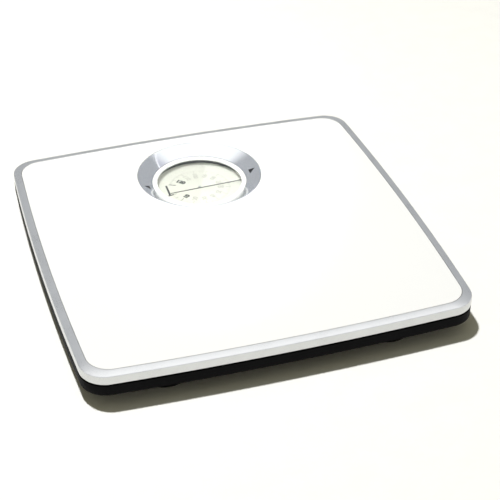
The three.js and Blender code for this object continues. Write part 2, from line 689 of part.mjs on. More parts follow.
// Ten-toothed pinion, turned half a tooth so that a space faces the sector's tooth
function pinion() {
  const shape = new THREE.Shape(toothed(PINION_R, PINION_TEETH, 0, PINION_TEETH - 1, []));
  const g = new THREE.ExtrudeGeometry(shape, { depth: GEAR_T + 0.4, bevelEnabled: false });
  g.rotateZ(-Math.PI / 2 + Math.PI / PINION_TEETH);
  g.translate(0, DIAL_Y, GEAR_Z - 0.2);
  return cut(solid(g), disc(1 + FIT, 0, TOTAL_H, 0, DIAL_Y, 16));
}

node('pinion', pinion(), BRASS);
const HUB_LOW = GEAR_Z + GEAR_T + 0.6;
const DISC_LOW = DISC_TOP - DISC_T;
node('dial_hub', cut(
  join(disc(3, HUB_LOW, DISC_LOW - FIT, 0, DIAL_Y, 24), disc(7, DISC_LOW - FIT - 0.9, DISC_LOW - FIT, 0, DIAL_Y, 32)),
  disc(1 + FIT, 0, TOTAL_H, 0, DIAL_Y, 16)), BRASS);
node('dial_disc', cut(disc(DISC_R, DISC_LOW, DISC_TOP, 0, DIAL_Y, 72), disc(1 + FIT, 0, TOTAL_H, 0, DIAL_Y, 16)), CREAM);

// Light extension spring from the sector's tail to a post on the frame
const HOOK_X = 18.6;
function returnSpring() {
  const points = [];
  const y = TAIL_Y;
  const z = GEAR_Z + GEAR_T / 2;
  points.push(new THREE.Vector3(TAIL_X, y, GEAR_Z - 0.5));
  points.push(new THREE.Vector3(TAIL_X, y, z + 1.0));
  points.push(new THREE.Vector3(TAIL_X + 0.5, y, z + 1.6));
  points.push(new THREE.Vector3(TAIL_X + 2.0, y, z + 1.6));
  for (let i = 0; i <= 40; i++) {
    const a = Math.PI / 2 + 2 * Math.PI * i / 8;
    points.push(new THREE.Vector3(TAIL_X + 2.6 + 6.0 * i / 40, y + 1.1 * Math.cos(a), z + 0.6 + 1.1 * Math.sin(a)));
  }
  points.push(new THREE.Vector3(HOOK_X - 0.3, y, z + 1.4));
  points.push(new THREE.Vector3(HOOK_X, y, z + 0.8));
  points.push(new THREE.Vector3(HOOK_X, y, z - 0.6));
  return wire(new THREE.CatmullRomCurve3(points, false, 'centripetal'), 0.2, 50, 4);
}

node('return_spring', returnSpring(), SPRING_STEEL);

// ---------- platform ----------

// Pressed steel cover: upright wall, chamfer, recess for the mat and the dial's hole
function platformCover() {
  const points = [];
  for (const [inset, r, z] of [[0, CORNER_R, SKIRT_Z], [0, CORNER_R, RIM_TOP], [CHAMFER_W, MAT_CORNER_R, TOTAL_H]]) {
    for (const p of outlinePoints(inset, r)) {
      points.push(new THREE.Vector3(p.x, p.y, z));
    }
  }
  let c = solid(new ConvexGeometry(points));
  c = cut(c, prism(outline(CHAMFER_W, MAT_CORNER_R), SHEET_TOP, TOTAL_H + 1));
  c = cut(c, prism(outline(COVER_T), 0, UNDERSIDE));
  c = cut(c, disc(HOLE_R, 0, TOTAL_H + 1, 0, DIAL_Y, 72));
  for (const [, s] of SIDES) {
    // eye for the upper hook of a hold-down spring
    const x = s * HOLD_X;
    c = cut(join(c, box(x - 3, x + 3, -1, 1, UNDERSIDE - 3.5, UNDERSIDE + 0.3)), holdEye(x, UNDERSIDE - 1.9));
  }
  return c;
}

node('platform_cover', platformCover(), SILVER);
node('platform_mat', cut(
  prism(outline(CHAMFER_W + FIT, MAT_CORNER_R - FIT), MAT_Z, TOTAL_H),
  disc(BEZEL_R + FIT, 0, TOTAL_H + 1, 0, DIAL_Y, 72)), WHITE);

// Steel U under the cover: its two ears rest on a load pin by open notches
function loadBracket(x, y) {
  const top = UNDERSIDE - FIT;
  const ear = PIN_L / 2 - 1.5;
  let b = box(x - ear, x + ear, y - 3.5, y + 3.5, top - BRACKET_T, top);
  for (const [, s] of SIDES) {
    const inner = x + s * (ear - BRACKET_T);
    const outer = x + s * ear;
    b = join(b, box(Math.min(inner, outer), Math.max(inner, outer), y - 3.5, y + 3.5, LEVER_Z - 1.2, top));
  }
  const notch = join(
    barX(PIN_R + TURN, x - 9, x + 9, y, LEVER_Z, 16),
    box(x - 9, x + 9, y - PIN_R - TURN, y + PIN_R + TURN, LEVER_Z - 6, LEVER_Z));
  return cut(b, notch);
}

for (const [name, sx, sy] of CORNERS) {
  const x = sx * (sy < 0 ? LONG_LOAD_X : SHORT_LOAD_X);
  node(`load_bracket_${name}`, loadBracket(x, sy * LOAD_Y), ZINC);
}

// Pressed funnel with a flange over the mat's hole, four hooks under the sheet and three screw bosses
const BOSS_AT = FUNNEL_R + 5.2;
const BEZEL_SCREWS = [90, 210, 330];
const FRAME_TOP_Z = FUNNEL_Z - 0.18;

function dialBezel() {
  const wall = 1.0;
  const rimInner = HOLE_R - FIT - 0.5;
  let b = turned([
    [FUNNEL_R, FUNNEL_Z - wall], [FUNNEL_R, FUNNEL_Z], [BEZEL_R - 0.6, TOTAL_H], [BEZEL_R, TOTAL_H - 0.4],
    [BEZEL_R, MAT_Z], [rimInner, MAT_Z], [FUNNEL_R + wall * 0.6, FUNNEL_Z - wall]], 0, DIAL_Y, 52);
  for (const deg of [45, 135, 225, 315]) {
    const hook = join(
      box(rimInner - 2.0, HOLE_R - FIT, -3, 3, UNDERSIDE - 1.2, MAT_Z + 0.2),
      box(rimInner - 2.0, HOLE_R + 1.0, -3, 3, UNDERSIDE - 1.4, UNDERSIDE - FIT));
    b = join(b, hook.rotate([0, 0, deg]).translate([0, DIAL_Y, 0]));
  }
  for (const deg of BEZEL_SCREWS) {
    const [x, y] = round(deg, BOSS_AT);
    const boss = disc(2.4, FUNNEL_Z - wall, FUNNEL_Z + 2.0, x, y, 16);
    b = cut(join(b, boss), disc(1.3, 0, FUNNEL_Z + 1.2, x, y, 12));
  }
  // nothing of the hooks or bosses stands above the funnel's own face
  return cut(b, turned([
    [0, FUNNEL_Z], [FUNNEL_R, FUNNEL_Z], [BEZEL_R - 0.6, TOTAL_H], [BEZEL_R - 0.6, TOTAL_H + 5],
    [0, TOTAL_H + 5]], 0, DIAL_Y, 52));
}

// A point on a circle about the dial's centre
function round(deg, r) {
  const a = deg * Math.PI / 180;
  return [r * Math.cos(a), DIAL_Y + r * Math.sin(a)];
}

node('dial_bezel', dialBezel(), CHROME);

// White ring at the foot of the funnel, with three screw ears and a step that holds the lens
const EAR_TOP = FUNNEL_Z - 1.0 - FIT;
const EAR_LOW = EAR_TOP - 1.5;
function lensFrame() {
  const outer = FUNNEL_R - FIT;
  let f = turned([
    [FRAME_HOLE_R, FRAME_TOP_Z - 1.4], [FRAME_HOLE_R, FRAME_TOP_Z - 0.2], [FRAME_HOLE_R + 0.2, FRAME_TOP_Z],
    [outer, FRAME_TOP_Z], [outer, EAR_TOP], [outer + 1.6, EAR_TOP], [outer + 1.6, EAR_LOW - 0.6],
    [outer - 0.4, EAR_LOW - 0.6], [outer - 0.4, FRAME_TOP_Z - 1.4]], 0, DIAL_Y, 48);
  for (const deg of BEZEL_SCREWS) {
    const [x, y] = round(deg, BOSS_AT);
    const [bx, by] = round(deg, outer + 0.8);
    f = join(f, disc(2.8, EAR_LOW, EAR_TOP, x, y, 16), bar([bx, by], [x, y], 0, 0, 5.6, EAR_LOW, EAR_TOP));
    f = cut(f, disc(1.5, 0, TOTAL_H, x, y, 12));
  }
  return f;
}

node('lens_frame', lensFrame(), WHITE);

for (const [i, deg] of BEZEL_SCREWS.entries()) {
  const [x, y] = round(deg, BOSS_AT);
  const headTop = EAR_LOW - FIT;
  const head = disc(2.4, headTop - 1.3, headTop, x, y, 16);
  const slot = box(x - 3, x + 3, y - 0.35, y + 0.35, headTop - 2, headTop - 0.8);
  node(`bezel_screw_${i + 1}`, join(cut(head, slot), disc(1.0, headTop - 0.5, FUNNEL_Z + 0.8, x, y, 12)), ZINC);
}

// Clear lens: a flat edge under the white ring and a low dome standing in its opening
function dialLens() {
  const edge = FUNNEL_R - FIT - 0.4 - FIT;
  const flatTop = FRAME_TOP_Z - 1.4 - FIT;
  const neck = FRAME_HOLE_R - FIT;
  const rise = 1.5;
  const profile = [[0, flatTop - 0.1], [20, flatTop - 0.4], [neck - 1, flatTop - 1.1], [edge, flatTop - 1.1]];
  profile.push([edge, flatTop], [neck, flatTop], [neck, FRAME_TOP_Z - 0.6]);
  for (let i = 1; i <= 4; i++) {
    const r = neck * (1 - i / 4);
    profile.push([r, FRAME_TOP_Z - 0.6 + rise * (1 - (r / neck) ** 2)]);
  }
  return turned(profile, 0, DIAL_Y, 44);
}

node('dial_lens', dialLens(), CLEAR);

// Thin tapered pointer across the dial, from a foot under the ring's right-hand side to the zero stroke
const POINTER_TIP = [-24.6, -5.0];
const POINTER_ROOT = [FUNNEL_R + 0.9, -1.95];
function indexPointer() {
  const z = DISC_TOP + 1.6;
  const [tipX, tipY] = POINTER_TIP;
  const [rootX, rootY] = POINTER_ROOT;
  const blade = new THREE.Shape([
    new THREE.Vector2(tipX, tipY - 0.25), new THREE.Vector2(rootX, rootY - 0.9),
    new THREE.Vector2(rootX, rootY + 0.9), new THREE.Vector2(tipX, tipY + 0.25)]);
  const g = new THREE.ExtrudeGeometry(blade, { depth: 0.5, bevelEnabled: false });
  g.translate(0, DIAL_Y, z);
  const footY = DIAL_Y + rootY;
  return join(solid(g), box(rootX - 1.3, rootX, footY - 1.5, footY + 1.5, z, EAR_LOW - 0.6 - FIT));
}

node('index_pointer', indexPointer(), BLACK);

// Extension spring between the tray's eye and the cover's eye
function holdSpring(s) {
  const x = s * HOLD_X;
  const low = BELLY_FLOOR + 1.9;
  const top = UNDERSIDE - 1.9;
  const points = [];
  const coils = 7;
  const steps = coils * 8;
  const z0 = low + 3.6;
  const z1 = top - 3.6;
  const at = (px, py, pz) => points.push(new THREE.Vector3(px, py, pz));
  at(x, -2.2, low + 0.2);
  at(x, 0, low);
  at(x, 2.0, low + 0.6);
  at(x, 1.6, low + 2.2);
  for (let i = 0; i <= steps; i++) {
    const a = Math.PI / 2 + 2 * Math.PI * i / 8;
    at(x + 2.2 * Math.cos(a), 2.2 * Math.sin(a), z0 + (z1 - z0) * i / steps);
  }
  at(x, 1.6, top - 2.2);
  at(x, 2.0, top - 0.6);
  at(x, 0, top);
  at(x, -2.2, top - 0.2);
  return wire(new THREE.CatmullRomCurve3(points, false, 'centripetal'), 0.4, steps + 12, 4);
}

for (const [name, s] of SIDES) {
  node(`hold_down_spring_${name}`, holdSpring(s), SPRING_STEEL);
}

export default group;
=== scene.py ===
"""A mechanical dial platform scale: a bowed square platform on levers, with a dial behind a lens near its
back edge. Metres, in the part's own frame: the origin is on the floor under the middle of the platform, +Y
is the dial's end."""

import math

import bpy
import numpy as np
from mathutils import Matrix, Vector


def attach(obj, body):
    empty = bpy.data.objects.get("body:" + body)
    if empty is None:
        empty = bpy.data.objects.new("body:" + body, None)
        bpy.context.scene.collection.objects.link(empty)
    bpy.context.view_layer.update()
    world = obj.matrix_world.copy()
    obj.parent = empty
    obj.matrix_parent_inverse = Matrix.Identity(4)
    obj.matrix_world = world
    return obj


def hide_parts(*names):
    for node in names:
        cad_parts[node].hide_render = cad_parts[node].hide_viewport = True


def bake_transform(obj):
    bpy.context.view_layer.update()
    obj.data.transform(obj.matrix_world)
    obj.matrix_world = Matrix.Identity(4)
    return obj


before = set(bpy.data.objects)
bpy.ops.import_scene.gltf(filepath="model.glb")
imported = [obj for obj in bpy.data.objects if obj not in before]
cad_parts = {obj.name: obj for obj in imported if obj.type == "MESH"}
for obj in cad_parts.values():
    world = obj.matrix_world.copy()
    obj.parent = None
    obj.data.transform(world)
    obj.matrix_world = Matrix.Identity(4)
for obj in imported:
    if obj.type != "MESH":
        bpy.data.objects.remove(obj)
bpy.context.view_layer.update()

# ---------- camera, floor and light ----------
# The camera stands in front, a little to the left, and looks down on the platform.
# A small lamp hangs high at the back left, so the shadow falls in front and to the right.
AZIMUTH, ELEVATION, ROLL = map(math.radians, (-17.88, 35.11, 0.35))
CAMERA_AT = (-0.2425, -0.8025, 0.5966)
SENSOR, FOCAL = 36, 100.03
scene = bpy.context.scene
scene.view_settings.view_transform = "Standard"

camera = bpy.data.objects.new("camera", bpy.data.cameras.new("camera"))
scene.collection.objects.link(camera)
scene.camera = camera
back = Vector((
    math.sin(AZIMUTH) * math.cos(ELEVATION), -math.cos(AZIMUTH) * math.cos(ELEVATION), math.sin(ELEVATION)))
level = Vector((math.cos(AZIMUTH), math.sin(AZIMUTH), 0))
above = back.cross(level)
right = level * math.cos(ROLL) + above * math.sin(ROLL)
up = above * math.cos(ROLL) - level * math.sin(ROLL)
camera.matrix_world = Matrix.Translation(CAMERA_AT) @ Matrix((right, up, back)).transposed().to_4x4()
camera.data.sensor_width = SENSOR
camera.data.lens = FOCAL
camera.data.clip_start = 0.05


class Look:
    """One material. Its node() makes any shader node, and what it returns takes ordinary arithmetic."""

    def __init__(self, name, tree=None):
        self.material = None
        if tree is None:
            self.material = bpy.data.materials.new(name)
            self.material.use_nodes = True
            tree = self.material.node_tree
        tree.nodes.clear()
        self.tree = tree

    def feed(self, socket, value):
        if isinstance(value, Value):
            self.tree.links.new(value.socket, socket)
        else:
            socket.default_value = value

    def node(self, kind, sockets, settings=None, out=0):
        made = self.tree.nodes.new("ShaderNode" + kind)
        for key, value in (settings or {}).items():
            setattr(made, key, value)
        for key, value in sockets.items():
            self.feed(made.inputs[key], value)
        return Value(self, made.outputs[out]) if made.outputs else made

    def place(self):
        """The object's own coordinates, in metres."""
        return self.node("TexCoord", {}, out="Object")

    def noise(self, size, detail, vector=None):
        """Soft noise from 0 to 1, whose features are about size metres across."""
        vector = vector or self.place()
        return self.node("TexNoise", {"Vector": vector, "Scale": 1 / size, "Detail": detail})

    def blend(self, share, a, b):
        """Colour a where share is 0 and b where it is 1."""
        return self.node("Mix", {0: share, 6: a, 7: b}, {"data_type": "RGBA"}, out=2)

    def bump(self, height, depth, strength=1.0):
        """A surface that rises by depth metres where height is 1."""
        return self.node("Bump", {"Height": height, "Distance": depth, "Strength": strength})

    def principled(self, sockets):
        shader = self.node("BsdfPrincipled", sockets)
        self.node("OutputMaterial", {"Surface": shader})
        return self.material


class Value:
    """A number or vector that a node gives."""

    def __init__(self, look, socket):
        self.look, self.socket = look, socket

    def math(self, operation, *others):
        return self.look.node("Math", dict(enumerate((self, *others))), {"operation": operation})

    def __add__(self, other):
        return self.math("ADD", other)

    def __mul__(self, other):
        return self.math("MULTIPLY", other)

    def __sub__(self, other):
        return self.math("SUBTRACT", other)

    def __rsub__(self, other):
        return self * -1 + other

    __radd__, __rmul__ = __add__, __mul__

    def step(self, low, high):
        """0 below low and 1 above high, smooth between them."""
        sockets = {"Value": self, "From Min": low, "From Max": high}
        return self.look.node("MapRange", sockets, {"interpolation_type": "SMOOTHSTEP"})

    def part(self, axis):
        """One coordinate of a vector."""
        return self.look.node("SeparateXYZ", {0: self}, out=axis)

    def scaled(self, factors):
        """A vector with each coordinate multiplied."""
        return self.look.node("VectorMath", {0: self, 1: factors}, {"operation": "MULTIPLY"})


def grainy(name, colour, rough, metallic=0.0, grain=0.0004, depth=0.00002, tone=0.06, more=None):
    """A painted, moulded or plated surface. Its tone runs from dark to light with 0.6 of a slow cloud plus
    0.4 of a fine grain. Its gloss varies about rough, by 0.16 of the grain plus 0.08 of the cloud, and the
    grain rises by depth metres."""
    look = Look(name)
    cloud = look.noise(0.02, 4)
    fine = look.noise(grain, 3)
    shade = (cloud * 0.6 + fine * 0.4).step(0.3, 0.7)
    dark = (*[c * (1 - tone) for c in colour], 1)
    light = (*[min(1, c * (1 + tone / 2)) for c in colour], 1)
    return look.principled({
        "Base Color": look.blend(shade, dark, light),
        "Roughness": (fine * 0.16 + cloud * 0.08) + (rough - 0.12),
        "Metallic": metallic,
        "Normal": look.bump(fine, depth),
        **(more or {})})


FLOOR_HALF = 3.0
floor_mesh = bpy.data.meshes.new("floor")
floor_mesh.from_pydata(
    [(x * FLOOR_HALF, y * FLOOR_HALF, 0) for x, y in ((-1, -1), (1, -1), (1, 1), (-1, 1))],
    [], [(0, 1, 2, 3)])
floor = bpy.data.objects.new("floor", floor_mesh)
scene.collection.objects.link(floor)
floor_mesh.materials.append(
    grainy("floor_white", (0.86, 0.86, 0.84), 0.9, grain=0.003, depth=0.00001, tone=0.02))


def lamp(name, place, aim, width, height, power):
    """A soft rectangular light at place, turned towards aim."""
    light = bpy.data.lights.new(name, "AREA")
    light.shape = "RECTANGLE"
    light.size, light.size_y = width, height
    light.energy = power
    made = bpy.data.objects.new(name, light)
    scene.collection.objects.link(made)
    facing_back = (Vector(place) - Vector(aim)).to_track_quat("Z", "Y")
    made.matrix_world = Matrix.Translation(place) @ facing_back.to_matrix().to_4x4()
    return made


LENS_SPOT = (0, 0.0778, 0.02)
overhead = lamp("overhead", place=(-0.31, 0.23, 2.0), aim=(0, 0, 0), width=0.1, height=0.1, power=46)
overhead.visible_glossy = False
# A tall window behind gives the lens its glare. It shows in shiny surfaces only.
window = lamp("back_window", place=(0.364, 0.978, 0.725), aim=LENS_SPOT, width=0.21, height=0.5, power=0.15)
window.visible_diffuse = False
# A narrow fill from the front reaches only the dial, down inside the bezel.
fill = lamp("dial_fill", place=(-0.1, -0.33, 0.265), aim=LENS_SPOT, width=0.05, height=0.05, power=0.07)
fill.data.spread = 0.5
fill.visible_glossy = False

world = bpy.data.worlds.new("room")
scene.world = world
world.use_nodes = True
room = Look("room", world.node_tree)
view_y = room.node("TexCoord", {}, out="Generated").part(1)
height = room.node("TexCoord", {}, out="Generated").part(2)
# Shiny surfaces see grey walls at the back, lighter ones in front with a bright edge between, and a white
# ceiling. Matt ones get a weak, slightly warm fill.
past_front = view_y.step(0.232, 0.236)
past_edge = view_y.step(0.244, 0.248)
ceiling = height.step(0.68, 0.86)
front_wall = 1 - past_front
bright_edge = past_front * (1 - past_edge)
walls = room.blend(front_wall, (0.42, 0.435, 0.46, 1), (0.74, 0.75, 0.84, 1))
walls = room.blend(bright_edge, walls, (3.0, 3.0, 3.0, 1))
seen_room = room.blend(ceiling, walls, (1.5, 1.5, 1.5, 1))
matt_ray = room.node("LightPath", {}, out="Is Diffuse Ray")
tint = room.blend(matt_ray, seen_room, (0.19, 0.178, 0.11, 1))
room.node("OutputWorld", {"Surface": room.node("Background", {"Color": tint, "Strength": 1.0})})

# ---------- base: tray and feet ----------
# The tray is one black injection moulding with a fine spark-eroded texture: an upright skirt that carries
# on the line of the platform's rim, a lip inside it, a floor, and a belly that holds the mechanism.
MM = 0.001
HALF, BOW, CORNER = 136.1, 3.9, 18.5
SIDE_STEPS, CORNER_STEPS = 140, 60


def outline(inset, corner):
    """The platform's plan, set in by inset: four shallow arcs joined by four round corners,
    counter-clockwise. Each bow is an arc of radius (w*w + bow*bow) / (2*bow) through two corners, and each
    corner's circle touches two bows from inside."""
    w = HALF - inset
    radius = (w * w + BOW * BOW) / (2 * BOW)
    centre = radius - w - BOW
    k = (math.sqrt(2 * (radius - corner) ** 2 - centre ** 2) - centre) / 2
    lean = math.atan2(k, k + centre)
    bow = np.linspace(-lean, lean, SIDE_STEPS, endpoint=False)
    turn = np.linspace(lean, math.pi / 2 - lean, CORNER_STEPS, endpoint=False)
    x = np.concatenate([radius * np.sin(bow), k + corner * np.sin(turn)])
    y = np.concatenate([centre - radius * np.cos(bow), -k - corner * np.cos(turn)])
    return around(x, y)


def around(x, y):
    """One side and one corner, repeated at each quarter turn."""
    quarter = np.arange(4)[:, None] * math.pi / 2
    return np.stack([
        (x * np.cos(quarter) - y * np.sin(quarter)).ravel(),
        (x * np.sin(quarter) + y * np.cos(quarter)).ravel()], 1)


def rounded_box(half_x, half_y, corner):
    """A rectangle with round corners, with the same steps along its sides and corners as the platform's
    plan."""
    points = []
    for turn, (a, b) in enumerate([(half_x, half_y), (half_y, half_x)] * 2):
        side = np.linspace(-a + corner, a - corner, SIDE_STEPS, endpoint=False)
        arc = np.linspace(0, math.pi / 2, CORNER_STEPS, endpoint=False)
        x = np.concatenate([side, a - corner + corner * np.sin(arc)])
        y = np.concatenate([np.full(SIDE_STEPS, -b), -b + corner - corner * np.cos(arc)])
        angle = turn * math.pi / 2
        points.append(np.stack([
            x * math.cos(angle) - y * math.sin(angle), x * math.sin(angle) + y * math.cos(angle)], 1))
    return np.concatenate(points)


def circle_in(plan, x, y, radius):
    """A circle about (x, y) whose points lie on the lines from there to the plan's points."""
    d = plan - (x, y)
    return (x, y) + radius * d / np.linalg.norm(d, axis=1, keepdims=True)


def ring(plan, z):
    """A plan's points at one height."""
    return np.column_stack([plan, np.full(len(plan), float(z))])


def rounded(profile, steps=5):
    """A closed profile of (a, b, radius) corners, with each corner turned into an arc of that radius."""
    done = []
    count = len(profile)
    for i, (a, b, radius) in enumerate(profile):
        here = np.array((a, b), float)
        if radius <= 0:
            done.append(here)
            continue
        before = np.array(profile[i - 1][:2], float) - here
        after = np.array(profile[(i + 1) % count][:2], float) - here
        long_before, long_after = np.linalg.norm(before), np.linalg.norm(after)
        before, after = before / long_before, after / long_after
        angle = math.acos(max(-1, min(1, float(before @ after))))
        reach = min(radius / math.tan(angle / 2), long_before * 0.49, long_after * 0.49)
        start, end = here + before * reach, here + after * reach
        t = np.linspace(0, 1, steps)[:, None]
        done.extend((1 - t) ** 2 * start + 2 * t * (1 - t) * here + t * t * end)
    return np.array(done)


def loft(rings, closed=True):
    """A skin over rings of equal length. A closed one joins the last ring to the first; an open one is
    capped."""
    rings = np.asarray(rings, float)
    rows, count = rings.shape[:2]
    index = np.arange(rows * count).reshape(rows, count)
    if closed:
        index = np.vstack([index, index[:1]])
    across = np.roll(index, -1, axis=1)
    quads = np.stack([index[:-1], across[:-1], across[1:], index[1:]], -1).reshape(-1, 4).tolist()
    points = rings.reshape(-1, 3)
    if not closed:
        points = np.vstack([points, rings[0].mean(0), rings[-1].mean(0)])
        first, last = index[0], index[-1]
        low, high = len(points) - 2, len(points) - 1
        quads += np.stack([np.roll(first, -1), first, np.full(count, low)], 1).tolist()
        quads += np.stack([last, np.roll(last, -1), np.full(count, high)], 1).tolist()
    return points, quads


def lathe(profile, x, y, count=192, closed=True):
    """A profile of (radius, height) turned about the upright line through (x, y)."""
    angle = np.linspace(0, 2 * math.pi, count, endpoint=False)
    profile = np.asarray(profile, float)
    return loft(np.stack([
        x + profile[:, :1] * np.cos(angle), y + profile[:, :1] * np.sin(angle),
        np.repeat(profile[:, 1:], count, 1)], -1), closed)


def block(x0, x1, y0, y1, z0, z1):
    """A plain block, for small bosses and tabs that are part of a larger piece."""
    plan = np.array([(x0, y0), (x1, y0), (x1, y1), (x0, y1)], float)
    return loft([ring(plan, z0), ring(plan, z1)], closed=False)


def tower(x, y, radius, z0, z1, count=48):
    """An upright round boss or post with a small chamfer at both ends."""
    c = min(0.2, radius / 4)
    side = [(radius - c, z0), (radius, z0 + c), (radius, z1 - c), (radius - c, z1)]
    return lathe(side, x, y, count, closed=False)


def turned_by(shell, angle, x=0.0, y=0.0):
    """A shell turned about the upright line through (x, y)."""
    points, faces = shell
    c, s = math.cos(angle), math.sin(angle)
    shift = np.array((x, y, 0.0))
    return (points - shift) @ np.array([[c, s, 0], [-s, c, 0], [0, 0, 1.0]]) + shift, faces


def piece(name, shells, material, body, slot, *nodes, smooth=35, bevel=0):
    """One visible piece of several closed shells, in millimetres, that rides on a body and stands for CAD
    nodes."""
    points, faces, count = [], [], 0
    for shell_points, shell_faces in shells:
        triangles = np.array([(f[0], f[i], f[i + 1]) for f in shell_faces for i in range(1, len(f) - 1)])
        a, b, c = (shell_points[triangles[:, i]] for i in range(3))
        inside_out = np.einsum("ij,ij->", a, np.cross(b, c)) < 0
        points.append(shell_points)
        faces += [[v + count for v in (reversed(f) if inside_out else f)] for f in shell_faces]
        count += len(shell_points)
    mesh = bpy.data.meshes.new(name)
    mesh.from_pydata((np.concatenate(points) * MM).tolist(), [], faces)
    mesh.shade_smooth()
    mesh.set_sharp_from_angle(angle=math.radians(smooth))
    mesh.materials.append(material)
    made = bpy.data.objects.new(name, mesh)
    scene.collection.objects.link(made)
    if bevel:
        soften(made, bevel)
    if body:
        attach(made, body)
    if nodes:
        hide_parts(*nodes)
    return made


def soften(obj, width):
    """Breaks the sharp edges by width millimetres."""
    edge = obj.modifiers.new("broken_edges", "BEVEL")
    edge.width = width * MM
    edge.segments = 2
    edge.limit_method = "ANGLE"
    edge.angle_limit = math.radians(40)


moulding = grainy("black_moulding", (0.004, 0.004, 0.0045), 0.62, grain=0.0005, depth=0.00003, tone=0.3,
                  more={"Specular IOR Level": 0.05})
SKIRT_LOW, SKIRT_TOP, LIP_TOP, LIP_OUT, LIP_IN = 10.5, 18.397, 22.2, 1.9, 3.4
TRAY_FLOOR, BELLY_LOW, BELLY_FLOOR = 12.5, 3.0, 5.0
KNOB_Y, KNOB_HOLE, GUIDE_X, HOLD_X, HOLD_LOW = 18, 9.6, 30, 112, 6.9


def belly(grow):
    """The belly's inner plan, set out all round by grow."""
    return rounded_box(116 + grow, 90 + grow, 3 + grow)


def knob_hole(grow):
    """The hole for the thumbwheel, its radius made larger by grow."""
    return circle_in(belly(0), 0, KNOB_Y, KNOB_HOLE + grow)


def spring_eyes(z):
    """Two rings on edge for a pair of springs to hook into: a lathed ring whose height becomes its place
    along Y."""
    points, faces = lathe([(1.1, -1), (1.1, 1), (3.0, 1), (3.0, -1)], 0, 0, 48)
    return [
        (np.column_stack([points[:, 0] + s * HOLD_X, points[:, 2], points[:, 1] + z]), faces)
        for s in (-1, 1)]


tray_rings = [ring(outline(max(a, 0), CORNER - max(a, 0)), z) for a, z in rounded([
    (0, SKIRT_LOW, 0.6), (0, SKIRT_TOP, 0.3), (LIP_OUT, SKIRT_TOP, 0.2),
    (LIP_OUT, LIP_TOP, 0.3), (LIP_IN, LIP_TOP, 0.3), (LIP_IN, TRAY_FLOOR, 0.8)])]
tray_rings += [ring(plan, z) for plan, z in (
    (belly(0.6), TRAY_FLOOR), (belly(0), 12.1), (belly(0), 5.6), (belly(-0.5), BELLY_FLOOR),
    (knob_hole(2), BELLY_FLOOR), (knob_hole(0), 4.7), (knob_hole(0), 3.3), (knob_hole(0.4), BELLY_LOW),
    (belly(0.8), BELLY_LOW), (belly(2), 4.0), (belly(2), 10.2), (belly(2.4), SKIRT_LOW))]
posts = [tower(s * GUIDE_X, KNOB_Y, 1.8, 4.8, 23.35) for s in (-1, 1)]
piece("tray", [loft(tray_rings), *posts, *spring_eyes(HOLD_LOW)],
      moulding, "base", "black_moulding", "base_tray")

# The feet are four low discs of black rubber, each with three grooves in its underside, bonded to the
# tray's skirt.
rubber = grainy("foot_rubber", (0.006, 0.006, 0.006), 0.85, grain=0.0006, depth=0.00004, tone=0.3,
                more={"Specular IOR Level": 0.08})
FOOT_X, FOOT_Y, FOOT_TOP_Z = 79, 112, 10.2
FOOT = [(1.5, 0.0, 0), (1.5, FOOT_TOP_Z, 0), (17.5, FOOT_TOP_Z, 0.2), (16.7, 0.8, 0.4), (15.9, 0.0, 0.4)]
for groove in (13.6, 9.6, 5.6):
    FOOT += [(groove, 0.0, 0.2), (groove - 0.3, 0.6, 0.1), (groove - 1.4, 0.6, 0.1), (groove - 1.7, 0.0, 0.2)]
CORNERS = [("front_left", -1, -1), ("front_right", 1, -1), ("back_left", -1, 1), ("back_right", 1, 1)]
foot_profile = rounded(FOOT, 4)
foot_open = np.vstack([[(0.4, FOOT_TOP_Z)], foot_profile[2:], [(0.4, 0.0)]])
for name, sx, sy in CORNERS:
    piece("rubber_" + name, [lathe(foot_open, sx * FOOT_X, sy * FOOT_Y, 96, closed=False)],
          rubber, "base", "black_rubber", "foot_" + name)


# ---------- levers and their bearings ----------
# Four levers of zinc-plated strip on edge. Each turns on a hardened pin in a folded bracket on the tray,
# and carries the platform on a second pin. All keep the plating's faint cloud and the sheen of rolled
# strip.
def steel(name, colour, rough, along=(1, 1, 0.08), streak=0.0006):
    """Rolled or drawn metal. Its tone is half streaks along one direction and half a faint cloud. Its gloss
    varies about rough, by 0.2 of the streaks plus 0.1 of the cloud, and the streaks stand up by 0.01 mm."""
    look = Look(name)
    place = look.place()
    lines = look.noise(streak, 3, place.scaled(along))
    cloud = look.noise(0.012, 3)
    shade = (lines * 0.5 + cloud * 0.5).step(0.3, 0.7)
    dark = (*[c * 0.82 for c in colour], 1)
    return look.principled({
        "Base Color": look.blend(shade, dark, (*colour, 1)),
        "Roughness": (lines * 0.2 + cloud * 0.1) + (rough - 0.12),
        "Metallic": 1.0,
        "Normal": look.bump(lines, 0.00001)})


def dress(material, width, *names):
    """A CAD piece whose shape is final gets its finish and broken edges."""
    for node_name in names:
        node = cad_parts[node_name]
        for slot in node.material_slots:
            slot.material = material
        if not node.material_slots:
            node.data.materials.append(material)
        if width:
            soften(node, width)


zinc = steel("zinc_steel", (0.62, 0.645, 0.66), 0.42, along=(0.15, 1, 1))
drawn = steel("spring_steel", (0.46, 0.48, 0.50), 0.32, along=(1, 1, 0.2), streak=0.0003)
brass = steel("brass", (0.78, 0.58, 0.26), 0.3, along=(1, 0.2, 1), streak=0.0003)
corner_names = [name for name, _, _ in CORNERS]
dress(zinc, 0.2, *(kind + n for kind in ("fulcrum_bracket_", "load_bracket_") for n in corner_names))
dress(zinc, 0.25, *(f"{kind}_lever_{side}" for kind in ("long", "short") for side in ("left", "right")))
dress(drawn, 0.2, *(kind + n for kind in ("fulcrum_pin_", "load_pin_") for n in corner_names))
dress(zinc, 0.15, "lever_link_left", "lever_link_right")

